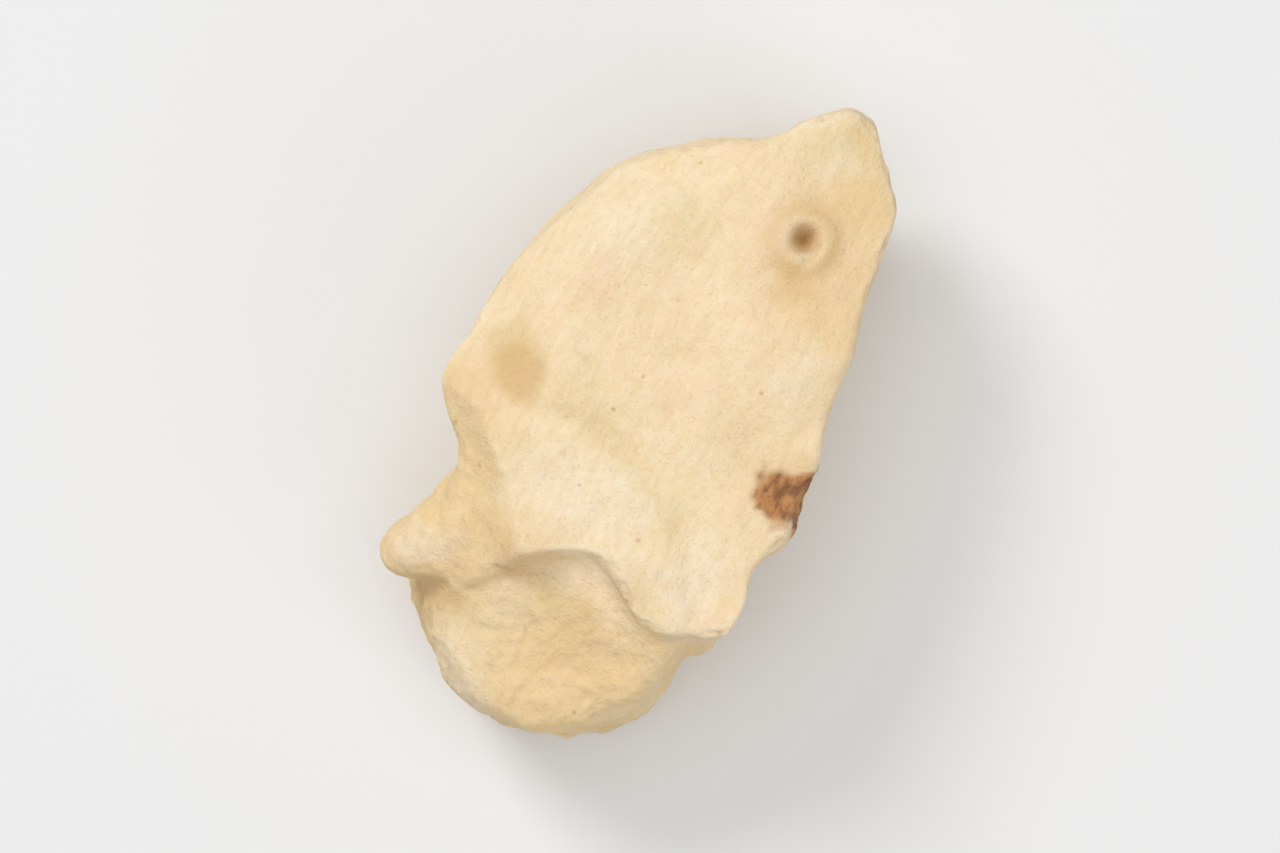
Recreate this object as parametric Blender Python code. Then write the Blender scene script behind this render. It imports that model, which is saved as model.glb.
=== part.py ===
"""One cut piece of dried orris root: a peeled, chopped chip of an iris rhizome.

The chip is one solid, shaped the way it came about. Knife cuts square up a block of root, its lower end is
broken off in a step with a spur beside it, a swollen lobe and a knob stand out below the step, and scars, a
groove and hollows are pressed into the skin. All of it adds up to one function that is negative inside the root. Every
point of a fine ball is moved along its ray to where that function is zero, the ball's triangles are thinned
out, and a last level cut gives the flat face that the chip rests on.

Frame: +Y runs along the chip to its pointed end and +Z up from the face that it rests on. Every size here is
in millimetres, and MM turns it into Blender's metres.
"""

import math
from typing import NamedTuple

import bmesh
import bpy
import numpy as np

MM = 0.001
NAME = "orris_root_chip"

LENGTH = 13.5
WIDTH = 7.2
THICKNESS = 5.4

EDGE_ROUNDING = 0.06
SPUR_ROUNDING = 0.14
LOBE_ROUNDING = 0.20
LOBE_BLEND = 0.16
KNOB_BLEND = 0.26
NOTCH_BLEND = 0.12
SKIN_LEVEL = 4.5
SKIN_FADE = 0.15
REST_LEVEL = 0.12

HEART = (0.1, -0.9, 2.3)
BALL_SUBDIVISIONS = 7
KEPT_TRIANGLES = 8000

CREAM = (0.80, 0.63, 0.41, 1.0)
ROUGHNESS = 0.85


class Cut(NamedTuple):
    """A knife cut: a point on its plane, the compass direction it faces, and how far it faces up."""

    at: tuple[float, float, float]
    facing: float
    tilt: float


class Lump(NamedTuple):
    """An egg shape: its middle, its half sizes, and its turn about Z in degrees."""

    middle: tuple[float, float, float]
    half: tuple[float, float, float]
    turn: float = 0.0


class Mark(NamedTuple):
    """A soft dent in the upper face, raised where its depth is negative, and a ring where it has a radius.

    A ring with a bearing is deepest in that compass direction from its middle and fades out round to the other side.
    """

    at: tuple[float, float]
    width: float
    depth: float
    radius: float = 0.0
    bearing: float | None = None


class Swell(NamedTuple):
    """A random undulation: the length of its waves, how far it moves the surface, and its seed."""

    length: float
    height: float
    seed: int


CUTS = (
    Cut(at=(0.0, 1.0, 5.30), facing=60, tilt=88),  # the peeled upper face
    Cut(at=(1.2, 5.0, 5.02), facing=62, tilt=71),  # its fall to the pointed end
    Cut(at=(-2.75, 1.0, 5.22), facing=172, tilt=60),  # the bevel along the left edge
    Cut(at=(-1.25, 4.60, 5.20), facing=138, tilt=62),  # the bevel beside the pointed end
    Cut(at=(2.82, 2.5, 5.12), facing=14, tilt=48),  # the thin bevel along the right edge
    Cut(at=(-3.87, 0.2, 3.6), facing=173, tilt=6),
    Cut(at=(-3.35, 0.54, 3.4), facing=182, tilt=-20),
    Cut(at=(-3.14, 3.63, 3.8), facing=160, tilt=8),
    Cut(at=(-1.17, 5.73, 3.8), facing=132, tilt=10),
    Cut(at=(-1.45, 5.15, 3.4), facing=134, tilt=-24),
    Cut(at=(0.54, 7.16, 3.6), facing=82, tilt=4),
    Cut(at=(1.58, 6.44, 3.6), facing=43, tilt=2),
    Cut(at=(2.46, 4.89, 3.4), facing=17, tilt=0),
    Cut(at=(2.92, 2.09, 3.6), facing=11, tilt=0),
    Cut(at=(3.11, 2.11, 3.0), facing=2, tilt=-22),
    Cut(at=(3.39, -1.39, 3.4), facing=-5, tilt=0),
    Cut(at=(0.6, 6.0, 1.6), facing=70, tilt=-48),  # the undercut below the pointed end
    Cut(at=(-3.29, -1.67, 4.0), facing=216, tilt=-6),  # the lower left corner
    Cut(at=(-2.35, -2.35, 4.92), facing=226, tilt=42),  # the slope from it down to the knob
)
STEP = Cut(at=(-0.25, -3.26, 4.6), facing=-60, tilt=18)
SPUR = (
    Cut(at=(1.20, -2.98, 4.6), facing=228, tilt=10),
    Cut(at=(2.54, -3.20, 4.6), facing=-62, tilt=8),
)
LOWER_LOBE = Lump(middle=(0.21, -4.03, 1.75), half=(2.76, 2.54, 6.00))
LOBE_CUTS = (
    Cut(at=(0.30, -3.20, 4.78), facing=-110, tilt=74),  # the lobe's flat top
    Cut(at=(-1.15, -4.90, 4.3), facing=195, tilt=45),  # its slope below the knob
    Cut(at=(-1.68, -5.46, 2.0), facing=-139, tilt=6),
    Cut(at=(0.30, -6.23, 2.0), facing=-88, tilt=-5),
    Cut(at=(2.32, -5.63, 2.0), facing=-40, tilt=10),
)
KNOB = (
    Lump(middle=(-2.33, -3.97, 3.55), half=(1.00, 0.62, 0.80), turn=34),
    Lump(middle=(-1.75, -2.95, 2.75), half=(0.98, 0.98, 1.60), turn=20),
)
NOTCHES = (
    Lump(middle=(-3.75, -2.50, 3.2), half=(1.05, 0.75, 2.8)),
    Lump(middle=(3.74, -1.37, 3.6), half=(0.65, 0.70, 2.6)),
    Lump(middle=(-1.13, 6.45, 4.0), half=(0.80, 0.80, 3.0)),
)
SCAR = (0.88, 4.47)
MARKS = (
    Mark(at=(-1.6, -2.1), width=1.20, depth=0.20),  # the dish above the step
    Mark(at=(-0.5, -3.9), width=0.25, depth=0.09, radius=3.35, bearing=48),  # the groove round the dish
    Mark(at=SCAR, width=0.21, depth=0.34),  # the pit of the large root scar
    Mark(at=SCAR, width=0.15, depth=-0.02, radius=0.42),  # its raised rim
    Mark(at=SCAR, width=0.20, depth=0.04, radius=0.75),  # the moat round the rim
    Mark(at=(-2.75, -0.22), width=0.60, depth=0.14),  # the faint root scar
    Mark(at=(0.24, 0.46), width=0.13, depth=0.08),  # the smallest one
    Mark(at=(2.98, 0.10), width=0.42, depth=0.14),  # the scrap of bark left on the right edge
)
WARPS = (Swell(3.6, 0.04, seed=11), Swell(3.6, 0.04, seed=12), Swell(3.6, 0.05, seed=13))
RIPPLES = (Swell(2.1, 0.025, seed=21), Swell(1.1, 0.012, seed=22))


def unit(vectors):
    """Each row scaled to length 1."""
    return vectors / np.linalg.norm(vectors, axis=-1, keepdims=True)


def undulation(points, swell, waves=18):
    """A soft random height: the sum of sine waves of about one length in random directions."""
    random = np.random.default_rng(swell.seed)
    headings = unit(random.normal(size=(waves, 3))) * random.uniform(0.7, 1.4, size=(waves, 1))
    starts = random.uniform(0.0, 2 * math.pi, size=waves)
    phases = points @ headings.T * (2 * math.pi / swell.length) + starts
    return swell.height * np.sin(phases).sum(axis=1) * math.sqrt(2 / waves)


def soft_most(distances, blend):
    """The largest of several distances at each point, with the corner between them rounded by blend."""
    return blend * np.logaddexp.reduce(np.stack(distances) / blend, axis=0)


def soft_least(distances, blend):
    """The smallest of several distances, rounded in the same way."""
    return -soft_most([-each for each in distances], blend)


def past_cut(points, cut):
    """How far each point is past the plane of a knife cut."""
    facing, tilt = math.radians(cut.facing), math.radians(cut.tilt)
    outward = np.array((math.cos(tilt) * math.cos(facing), math.cos(tilt) * math.sin(facing), math.sin(tilt)))
    return (points - cut.at) @ outward


def past_lump(points, lump):
    """About how far each point is outside an egg shape."""
    turn = math.radians(lump.turn)
    along = np.array((math.cos(turn), math.sin(turn), 0.0))
    across = np.array((-math.sin(turn), math.cos(turn), 0.0))
    from_middle = points - lump.middle
    own = np.stack((from_middle @ along, from_middle @ across, from_middle[:, 2]), axis=1)
    half = np.array(lump.half)
    stretched = np.linalg.norm(own / half, axis=1)
    steepness = np.linalg.norm(own / half**2, axis=1)
    return stretched * (stretched - 1) / np.maximum(steepness, 1e-6)


def dent(points, mark):
    """How deep a mark is at each point: a bell curve across the dent, or across the ring."""
    x, y = points[:, 0] - mark.at[0], points[:, 1] - mark.at[1]
    depth = mark.depth * np.exp(-(((np.hypot(x, y) - mark.radius) / mark.width) ** 2))
    if mark.bearing is None:
        return depth
    return depth * ((1 + np.cos(np.arctan2(y, x) - math.radians(mark.bearing))) / 2) ** 2


def on_upper_face(points):
    """1 on the upper face, falling to 0 below it."""
    return 1 / (1 + np.exp((SKIN_LEVEL - points[:, 2]) / SKIN_FADE))


def past_root(points):
    """How far each point is outside the chip, and negative inside it."""
    warped = points + np.stack([undulation(points, swell) for swell in WARPS], axis=1)
    spur = soft_most([past_cut(warped, cut) for cut in SPUR], SPUR_ROUNDING)
    end = soft_least([past_cut(warped, STEP), spur], SPUR_ROUNDING)
    block = soft_most([past_cut(warped, cut) for cut in CUTS] + [end], EDGE_ROUNDING)
    block = soft_least([block] + [past_lump(warped, lump) for lump in KNOB], KNOB_BLEND)
    lobe = soft_most([past_lump(warped, LOWER_LOBE)] + [past_cut(warped, cut) for cut in LOBE_CUTS], LOBE_ROUNDING)
    whole = soft_least([block, lobe], LOBE_BLEND)
    whole = soft_most([whole] + [-past_lump(warped, notch) for notch in NOTCHES], NOTCH_BLEND)
    dents = sum(dent(points, mark) for mark in MARKS) * on_upper_face(points)
    return whole + dents + sum(undulation(points, swell) for swell in RIPPLES)


def surface_points(directions, reach=10.0, halvings=26):
    """The point on each ray from the chip's heart where it leaves the root, found by halving."""
    near = np.zeros(len(directions))
    far = np.full(len(directions), reach)
    heart = np.array(HEART)
    for _ in range(halvings):
        middle = (near + far) / 2
        inside = past_root(heart + directions * middle[:, None]) < 0
        near = np.where(inside, middle, near)
        far = np.where(inside, far, middle)
    return heart + directions * near[:, None]


def clear_scene():
    """Removes every object of the file that the script runs in."""
    for old in list(bpy.data.objects):
        bpy.data.objects.remove(old)


def root_material():
    """The pale, chalky cream of peeled and dried orris root."""
    material = bpy.data.materials.new("dried_root")
    material.use_nodes = True
    shader = material.node_tree.nodes["Principled BSDF"]
    shader.inputs["Base Color"].default_value = CREAM
    shader.inputs["Roughness"].default_value = ROUGHNESS
    shader.inputs["Metallic"].default_value = 0.0
    return material


def fit_to_size(places):
    """Stands the root on Z = 0 over the origin, with its overall sizes as stated; below Z = 0 is cut off later."""
    low, high = places.min(axis=0), places.max(axis=0)
    low[2] = REST_LEVEL
    seat = np.array(((low[0] + high[0]) / 2, (low[1] + high[1]) / 2, REST_LEVEL))
    return (places - seat) * (WIDTH, LENGTH, THICKNESS) / (high - low)


def fine_chip():
    """A mesh of the chip with even, fine triangles: a ball whose points are moved out to the root's surface."""
    shape = bmesh.new()
    bmesh.ops.create_icosphere(shape, subdivisions=BALL_SUBDIVISIONS, radius=1.0)
    mesh = bpy.data.meshes.new(NAME)
    shape.to_mesh(mesh)
    shape.free()
    ball = np.empty(len(mesh.vertices) * 3)
    mesh.vertices.foreach_get("co", ball)
    directions = unit(ball.reshape(-1, 3) * (WIDTH, LENGTH, THICKNESS))
    places = fit_to_size(surface_points(directions))
    mesh.vertices.foreach_set("co", (places * MM).ravel())
    mesh.update()
    return mesh


def thin_out(chip):
    """Leaves the triangles where the surface bends, down to the number that is kept."""
    decimate = chip.modifiers.new("thin out", "DECIMATE")
    decimate.ratio = KEPT_TRIANGLES / len(chip.data.polygons)
    decimate.use_collapse_triangulate = True
    thinned = bpy.data.meshes.new_from_object(chip.evaluated_get(bpy.context.evaluated_depsgraph_get()))
    chip.modifiers.clear()
    chip.data = thinned


def cut_level(chip):
    """Cuts the underside off level at Z = 0 and closes it with one flat face."""
    shape = bmesh.new()
    shape.from_mesh(chip.data)
    everything = shape.verts[:] + shape.edges[:] + shape.faces[:]
    cut = bmesh.ops.bisect_plane(
        shape, geom=everything, dist=MM * 1e-4, plane_co=(0, 0, 0), plane_no=(0, 0, -1), clear_outer=True
    )
    rim = [item for item in cut["geom_cut"] if isinstance(item, bmesh.types.BMEdge)]
    bmesh.ops.contextual_create(shape, geom=rim)
    bmesh.ops.recalc_face_normals(shape, faces=shape.faces)
    shape.to_mesh(chip.data)
    shape.free()


def main():
    clear_scene()
    collection = bpy.data.collections.new("orris_root")
    bpy.context.scene.collection.children.link(collection)
    chip = bpy.data.objects.new(NAME, fine_chip())
    collection.objects.link(chip)
    thin_out(chip)
    cut_level(chip)
    chip.data.shade_smooth()
    chip.data.materials.append(root_material())


if __name__ == "__main__":
    main()
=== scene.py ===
"""The looks of one cut piece of dried orris root: a peeled and chopped chip of an iris rhizome.

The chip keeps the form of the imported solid. The same knife cuts, broken step, lobes and marks are worked out
again on a much finer lattice, which then carries what the solid leaves out: the flats of the peeling knife,
shrink wrinkles, strands and their cut ends, starchy grain, crumbled breaks and nicked edges.

Lengths inside the form are in millimetres. They become metres when the mesh is fitted to its node's box.
"""

import logging
import math
from dataclasses import dataclass, field
from enum import Enum

import bpy
import numpy as np
from mathutils import Matrix, Vector


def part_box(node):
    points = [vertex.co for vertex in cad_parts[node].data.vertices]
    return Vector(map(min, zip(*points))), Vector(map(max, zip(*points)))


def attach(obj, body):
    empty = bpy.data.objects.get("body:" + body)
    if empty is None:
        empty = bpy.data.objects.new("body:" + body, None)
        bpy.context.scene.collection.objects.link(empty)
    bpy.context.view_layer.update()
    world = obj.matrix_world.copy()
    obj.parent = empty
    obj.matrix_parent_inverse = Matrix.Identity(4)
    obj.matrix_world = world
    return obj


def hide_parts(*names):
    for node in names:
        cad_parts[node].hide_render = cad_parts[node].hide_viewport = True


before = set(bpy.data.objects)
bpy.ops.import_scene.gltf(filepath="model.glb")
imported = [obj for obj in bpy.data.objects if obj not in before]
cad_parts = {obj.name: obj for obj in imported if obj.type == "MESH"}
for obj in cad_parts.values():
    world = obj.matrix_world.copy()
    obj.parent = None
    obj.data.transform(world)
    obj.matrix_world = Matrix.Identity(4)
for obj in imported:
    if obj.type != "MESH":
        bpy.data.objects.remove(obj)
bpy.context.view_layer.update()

NODE = "orris_root_chip"
BODY = "root"
MM = 0.001
OBLIQUE = np.array(Matrix.Rotation(0.9, 3, Vector((1.0, 2.0, 3.0))))
HASH_PRIMES = (73856093, 19349663, 83492791)
HASH_ROUNDS = ((16, 0x45D9F3B), (15, 0x2C1B3C6D), (16, 0x297A2D39))
SEED_STEP, DRAW_STEP, HASH_START = 2654435761, 40503, 12345
LOW_32_BITS, LOW_24_BITS = np.uint64(0xFFFFFFFF), np.uint64(0xFFFFFF)
CELL_STEP, LAYER_SHIFT = 0.53, 17.3
FAR = 9.0
Array = np.ndarray
Triple = tuple[float, float, float]
Pair = tuple[float, float]
Colour = tuple[float, float, float, float]
Socket = bpy.types.NodeSocket


class Face(Enum):
    """What made a stretch of the chip's surface."""

    SKIN = "peeled outside of the root"
    CUT = "knife cut through the root"
    BROKEN = "snapped or swollen surface that no knife touched"


def unit(vectors: Array) -> Array:
    """Each row scaled to length 1."""
    return vectors / np.maximum(np.linalg.norm(vectors, axis=-1, keepdims=True), 1e-12)


def rise(value: Array, low: float, high: float) -> Array:
    """0 below low, 1 above high, and a smooth S between them."""
    part = np.clip((value - low) / (high - low), 0.0, 1.0)
    return part * part * (3 - 2 * part)


def linear(red: int, green: int, blue: int) -> Colour:
    """A screen colour from 0 to 255, as the linear light that a shader takes."""
    parts = [channel / 255 for channel in (red, green, blue)]
    return (*[c / 12.92 if c <= 0.04045 else ((c + 0.055) / 1.055) ** 2.4 for c in parts], 1.0)


def placed(name: str, data: bpy.types.ID) -> bpy.types.Object:
    """A new object with its mesh, light or camera, linked into the scene."""
    thing = bpy.data.objects.new(name, data)
    bpy.context.scene.collection.objects.link(thing)
    return thing


def scattered(cells: Array, seed: int, draws: int = 1) -> Array:
    """Even random numbers from 0 to 1 for whole-number cells: the cell's three numbers, hashed.

    Args:
        cells: Whole numbers, one row of three for each cell.
        seed: Picks another set of numbers.
        draws: How many numbers each cell gets.

    Returns:
        One row of draws for each cell.
    """
    mixed = cells.astype(np.uint64) @ np.array(HASH_PRIMES, dtype=np.uint64)
    columns = []
    for draw in range(draws):
        value = (mixed + np.uint64(seed * SEED_STEP + draw * DRAW_STEP + HASH_START)) & LOW_32_BITS
        for shift, factor in HASH_ROUNDS:
            value = ((value ^ (value >> np.uint64(shift))) * np.uint64(factor)) & LOW_32_BITS
        columns.append(((value ^ (value >> np.uint64(16))) & LOW_24_BITS) / (float(LOW_24_BITS) + 1))
    return np.stack(columns, axis=-1)


def cloud(points: Array, seed: int) -> Array:
    """Soft noise with cells of size 1: random corner values of an oblique lattice, blended smoothly.

    Args:
        points: Places in units of the cell.
        seed: Picks another cloud.

    Returns:
        A number from -1 to 1 for each point.
    """
    turned = points @ OBLIQUE
    floor = np.floor(turned)
    part = turned - floor
    ease = part * part * part * (part * (part * 6 - 15) + 10)
    corner = floor.astype(np.int64)
    total = np.zeros(len(points))
    for step in np.ndindex(2, 2, 2):
        share = np.prod(np.where(np.array(step) == 1, ease, 1 - ease), axis=1)
        total += share * scattered(corner + step, seed)[:, 0]
    return total * 2 - 1


def layered(points: Array, cell: float, layers: int, seed: int) -> Array:
    """Clouds on clouds: each layer has cells and height about half those of the one before it.

    Args:
        points: Places in millimetres.
        cell: The size of the first layer's cells.
        layers: How many clouds are summed.
        seed: Picks another set of clouds.

    Returns:
        The sum at each point.
    """
    total = np.zeros(len(points))
    for layer in range(layers):
        total += cloud(points / (cell * CELL_STEP**layer) + LAYER_SHIFT * layer, seed + layer) * 0.5**layer
    return total


@dataclass(frozen=True)
class Pebbles:
    """How far points are from the nearest and second nearest of scattered middles, in cells of size 1."""

    nearest: Array
    second: Array
    chance: Array

    @classmethod
    def at(cls, points: Array, seed: int) -> "Pebbles":
        """Measures the points against one middle in each cell of a cubic lattice.

        Args:
            points: Places in units of the cell.
            seed: Picks another scatter.

        Returns:
            The two distances, and a random number of the nearest middle.
        """
        home = np.floor(points).astype(np.int64)
        nearest = np.full(len(points), FAR)
        second = np.full(len(points), FAR)
        chance = np.zeros(len(points))
        for step in np.ndindex(3, 3, 3):
            cell = home + np.array(step) - 1
            draws = scattered(cell, seed, draws=4)
            off = np.linalg.norm(cell + draws[:, :3] - points, axis=1)
            closer = off < nearest
            second = np.where(closer, nearest, np.minimum(second, off))
            chance = np.where(closer, draws[:, 3], chance)
            nearest = np.where(closer, off, nearest)
        return cls(nearest, second, chance)


def soft_most(distances: list[Array], blend: float) -> Array:
    """The largest of several distances at each point, with the corner between them rounded by blend."""
    return blend * np.logaddexp.reduce(np.stack(distances) / blend, axis=0)


def soft_least(distances: list[Array], blend: float) -> Array:
    """The smallest of several distances, rounded in the same way."""
    return -soft_most([-each for each in distances], blend)


@dataclass(frozen=True)
class Cut:
    """A flat that bounds the root: a point on it, the direction it faces, and how far it faces up."""

    at: Triple
    facing: float
    tilt: float

    @classmethod
    def rows(cls, *rows: tuple[float, ...]) -> "tuple[Cut, ...]":
        """Flats from rows of X, Y, Z, facing and tilt."""
        return tuple(cls((x, y, z), facing, tilt) for x, y, z, facing, tilt in rows)

    def past(self, points: Array) -> Array:
        """The distance along the outward normal, which the two angles give.

        Args:
            points: Places in millimetres.

        Returns:
            How far each point is past the plane.
        """
        facing, tilt = math.radians(self.facing), math.radians(self.tilt)
        level = math.cos(tilt)
        outward = np.array((level * math.cos(facing), level * math.sin(facing), math.sin(tilt)))
        return (points - self.at) @ outward


@dataclass(frozen=True)
class Lump:
    """An egg shape: its middle, its half sizes, and its turn about Z in degrees."""

    middle: Triple
    half: Triple
    turn: float = 0.0

    def past(self, points: Array) -> Array:
        """About how far each point is outside: the stretched distance less one, over its steepness.

        Args:
            points: Places in millimetres.

        Returns:
            A distance for each point, below 0 inside the egg.
        """
        turn = math.radians(self.turn)
        along = np.array((math.cos(turn), math.sin(turn), 0.0))
        across = np.array((-math.sin(turn), math.cos(turn), 0.0))
        from_middle = points - self.middle
        own = np.stack((from_middle @ along, from_middle @ across, from_middle[:, 2]), axis=1)
        half = np.array(self.half)
        stretched = np.linalg.norm(own / half, axis=1)
        steepness = np.linalg.norm(own / half**2, axis=1)
        return stretched * (stretched - 1) / np.maximum(steepness, 1e-6)


@dataclass(frozen=True)
class Mark:
    """A soft dent in the upper face, raised where its depth is negative, and a ring where it has a radius.

    A ring with a bearing is deepest in that direction from its middle, and fades out on the other side.
    """

    at: Pair
    width: float
    depth: float
    radius: float = 0.0
    bearing: float | None = None

    def dent(self, points: Array) -> Array:
        """A bell curve across the dent, or across the ring.

        Args:
            points: Places in millimetres, of which X and Y are read.

        Returns:
            How deep the mark is at each point.
        """
        x, y = points[:, 0] - self.at[0], points[:, 1] - self.at[1]
        depth = self.depth * np.exp(-(((np.hypot(x, y) - self.radius) / self.width) ** 2))
        if self.bearing is None:
            return depth
        return depth * ((1 + np.cos(np.arctan2(y, x) - math.radians(self.bearing))) / 2) ** 2


@dataclass(frozen=True)
class Swell:
    """A random undulation: the length of its waves, how far it moves the surface, and its seed."""

    length: float
    height: float
    seed: int
    waves: int = 18

    def at(self, points: Array) -> Array:
        """The sum of sine waves of about one length in random directions.

        Args:
            points: Places in millimetres.

        Returns:
            The height at each point.
        """
        random = np.random.default_rng(self.seed)
        headings = unit(random.normal(size=(self.waves, 3))) * random.uniform(0.7, 1.4, size=(self.waves, 1))
        starts = random.uniform(0.0, 2 * math.pi, size=self.waves)
        phases = points @ headings.T * (2 * math.pi / self.length) + starts
        return self.height * np.sin(phases).sum(axis=1) * math.sqrt(2 / self.waves)


PATCH_UNEVENNESS = 0.45
PATCH_BORDER = (-0.25, 0.85)
PATCH_LEVELS = (1.2, 3.0)


@dataclass(frozen=True)
class Patch:
    """A patch of colour on the upper side, used for tints and for painted shade and highlights: its middle,
    half sizes, turn about Z in degrees, and strength.
    """

    at: Pair
    half: Pair
    turn: float
    strength: float

    @classmethod
    def rows(cls, *rows: tuple[float, ...]) -> "tuple[Patch, ...]":
        """Patches from rows of X, Y, half length, half width, turn and strength."""
        return tuple(cls((x, y), (long, wide), turn, strength) for x, y, long, wide, turn, strength in rows)

    def share(self, points: Array) -> Array:
        """One less the distance from the middle in half sizes, made uneven and passed through a soft step.

        Args:
            points: Places in millimetres.

        Returns:
            How strong the patch is at each point: full in the middle, with a soft and uneven border.
        """
        turn = math.radians(self.turn)
        x, y = points[:, 0] - self.at[0], points[:, 1] - self.at[1]
        along, across = x * math.cos(turn) + y * math.sin(turn), y * math.cos(turn) - x * math.sin(turn)
        inside = 1 - np.hypot(along / self.half[0], across / self.half[1])
        inside = inside + PATCH_UNEVENNESS * layered(points, 0.6, 2, 83)
        return self.strength * rise(inside, *PATCH_BORDER) * rise(points[:, 2], *PATCH_LEVELS)

    @classmethod
    def all(cls, patches: "tuple[Patch, ...]", points: Array) -> Array:
        """The sum of several patches at each point."""
        return sum(patch.share(points) for patch in patches)


@dataclass(frozen=True)
class Tint:
    """One faint colour in clouds all over, of a strength, cell size and seed, and stronger in patches, among
    which are painted shade and painted highlights.
    """

    strength: float
    cell: float
    seed: int
    patches: tuple[Patch, ...]

    def mask(self, points: Array) -> Array:
        """The clouds and the patches at each point, from 0 to 1."""
        clouds = rise(layered(points, self.cell, 2, self.seed), 0.2, 0.9)
        return np.clip(clouds * self.strength + Patch.all(self.patches, points), 0, 1)


SCAR = (0.88, 4.47)
FAINT_SCAR = (-2.75, -0.22)
BARK = (2.98, 0.10)
BARK_LEVEL = 4.85
BARK_HALF = (0.70, 0.80, 0.85)
# Yellow-brown patches on the faint scar, below the root scar, on the lobe, the knob and by the bark, and one
# painted shadow along the lobe's foot.
OCHRES_AND_SHADE = Patch.rows(
    (-2.52, -0.34, 0.52, 0.70, 10, 0.85),
    (-2.80, -0.15, 0.90, 1.05, 10, 0.22),
    (1.00, 3.72, 0.55, 0.50, 0, 0.7),
    (0.20, -4.70, 3.2, 2.2, 0, 0.65),
    # Painted shadow along the lobe's foot, where its side turns down away from the light.
    (0.20, -6.40, 2.8, 0.8, 0, 0.50),
    (-2.45, -4.05, 1.1, 0.8, 34, 0.35),
    (2.80, 0.05, 0.80, 0.95, 0, 0.5),
)
# Pale patches. Painted highlights at (-1.90, 3.20) on the lit left bevel, at (2.30, -2.20) on the spur's lit
# end and at (2.10, 1.90) on the right edge; painted light at (0.30, -3.15) over the step's shade in the
# crease. The rest only make the colour paler.
PALES_AND_HIGHLIGHTS = Patch.rows(
    (-0.10, -1.80, 1.7, 0.9, -10, 1.0),
    (2.30, -2.20, 0.7, 1.0, 10, 1.0),
    (-2.35, -4.00, 0.8, 0.5, 34, 1.0),
    (-1.90, 3.20, 0.6, 1.5, -20, 0.35),
    (0.90, 6.10, 0.5, 0.6, 0, 0.6),
    (0.30, -3.15, 0.8, 0.40, 20, 1.0),
    (2.10, 1.90, 0.5, 1.5, 8, 0.7),
)
# Painted shadows: the step's shadow in the crease under its overhang, and the knob's shadow on the lobe's
# flank.
SHADOW_PATCHES = Patch.rows(
    (-0.70, -3.48, 0.60, 0.38, 0, 0.4),
    (-1.85, -4.95, 0.65, 0.70, 0, 0.8),
)
# Pinkish patches, and one painted shade at (-0.67, -3.48) in the crease under the step.
BLUSHES_AND_SHADE = Patch.rows(
    (-2.00, 1.85, 0.42, 0.62, 20, 0.9),
    (0.00, 1.30, 1.3, 1.0, 0, 0.35),
    (2.35, 4.30, 0.35, 1.6, 8, 0.5),
    (1.36, -4.02, 0.6, 0.5, 0, 0.7),
    (1.14, -5.30, 0.8, 0.6, 0, 0.5),
    # Painted shade in the crease under the step.
    (-0.67, -3.48, 0.7, 0.4, 30, 0.6),
    (0.24, 0.46, 0.16, 0.16, 0, 1.0),
)
SAGES = Patch.rows(
    (0.75, 6.35, 0.6, 0.6, 0, 0.45),
    (-0.80, -4.85, 0.7, 0.6, 0, 0.8),
    (0.25, -3.75, 0.8, 0.6, 0, 0.8),
    (-0.50, -0.62, 1.3, 0.30, -10, 0.6),
    (-3.05, 0.05, 0.45, 0.60, 10, 0.9),
    (1.45, -1.45, 0.3, 0.9, 25, 0.6),
)


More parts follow.
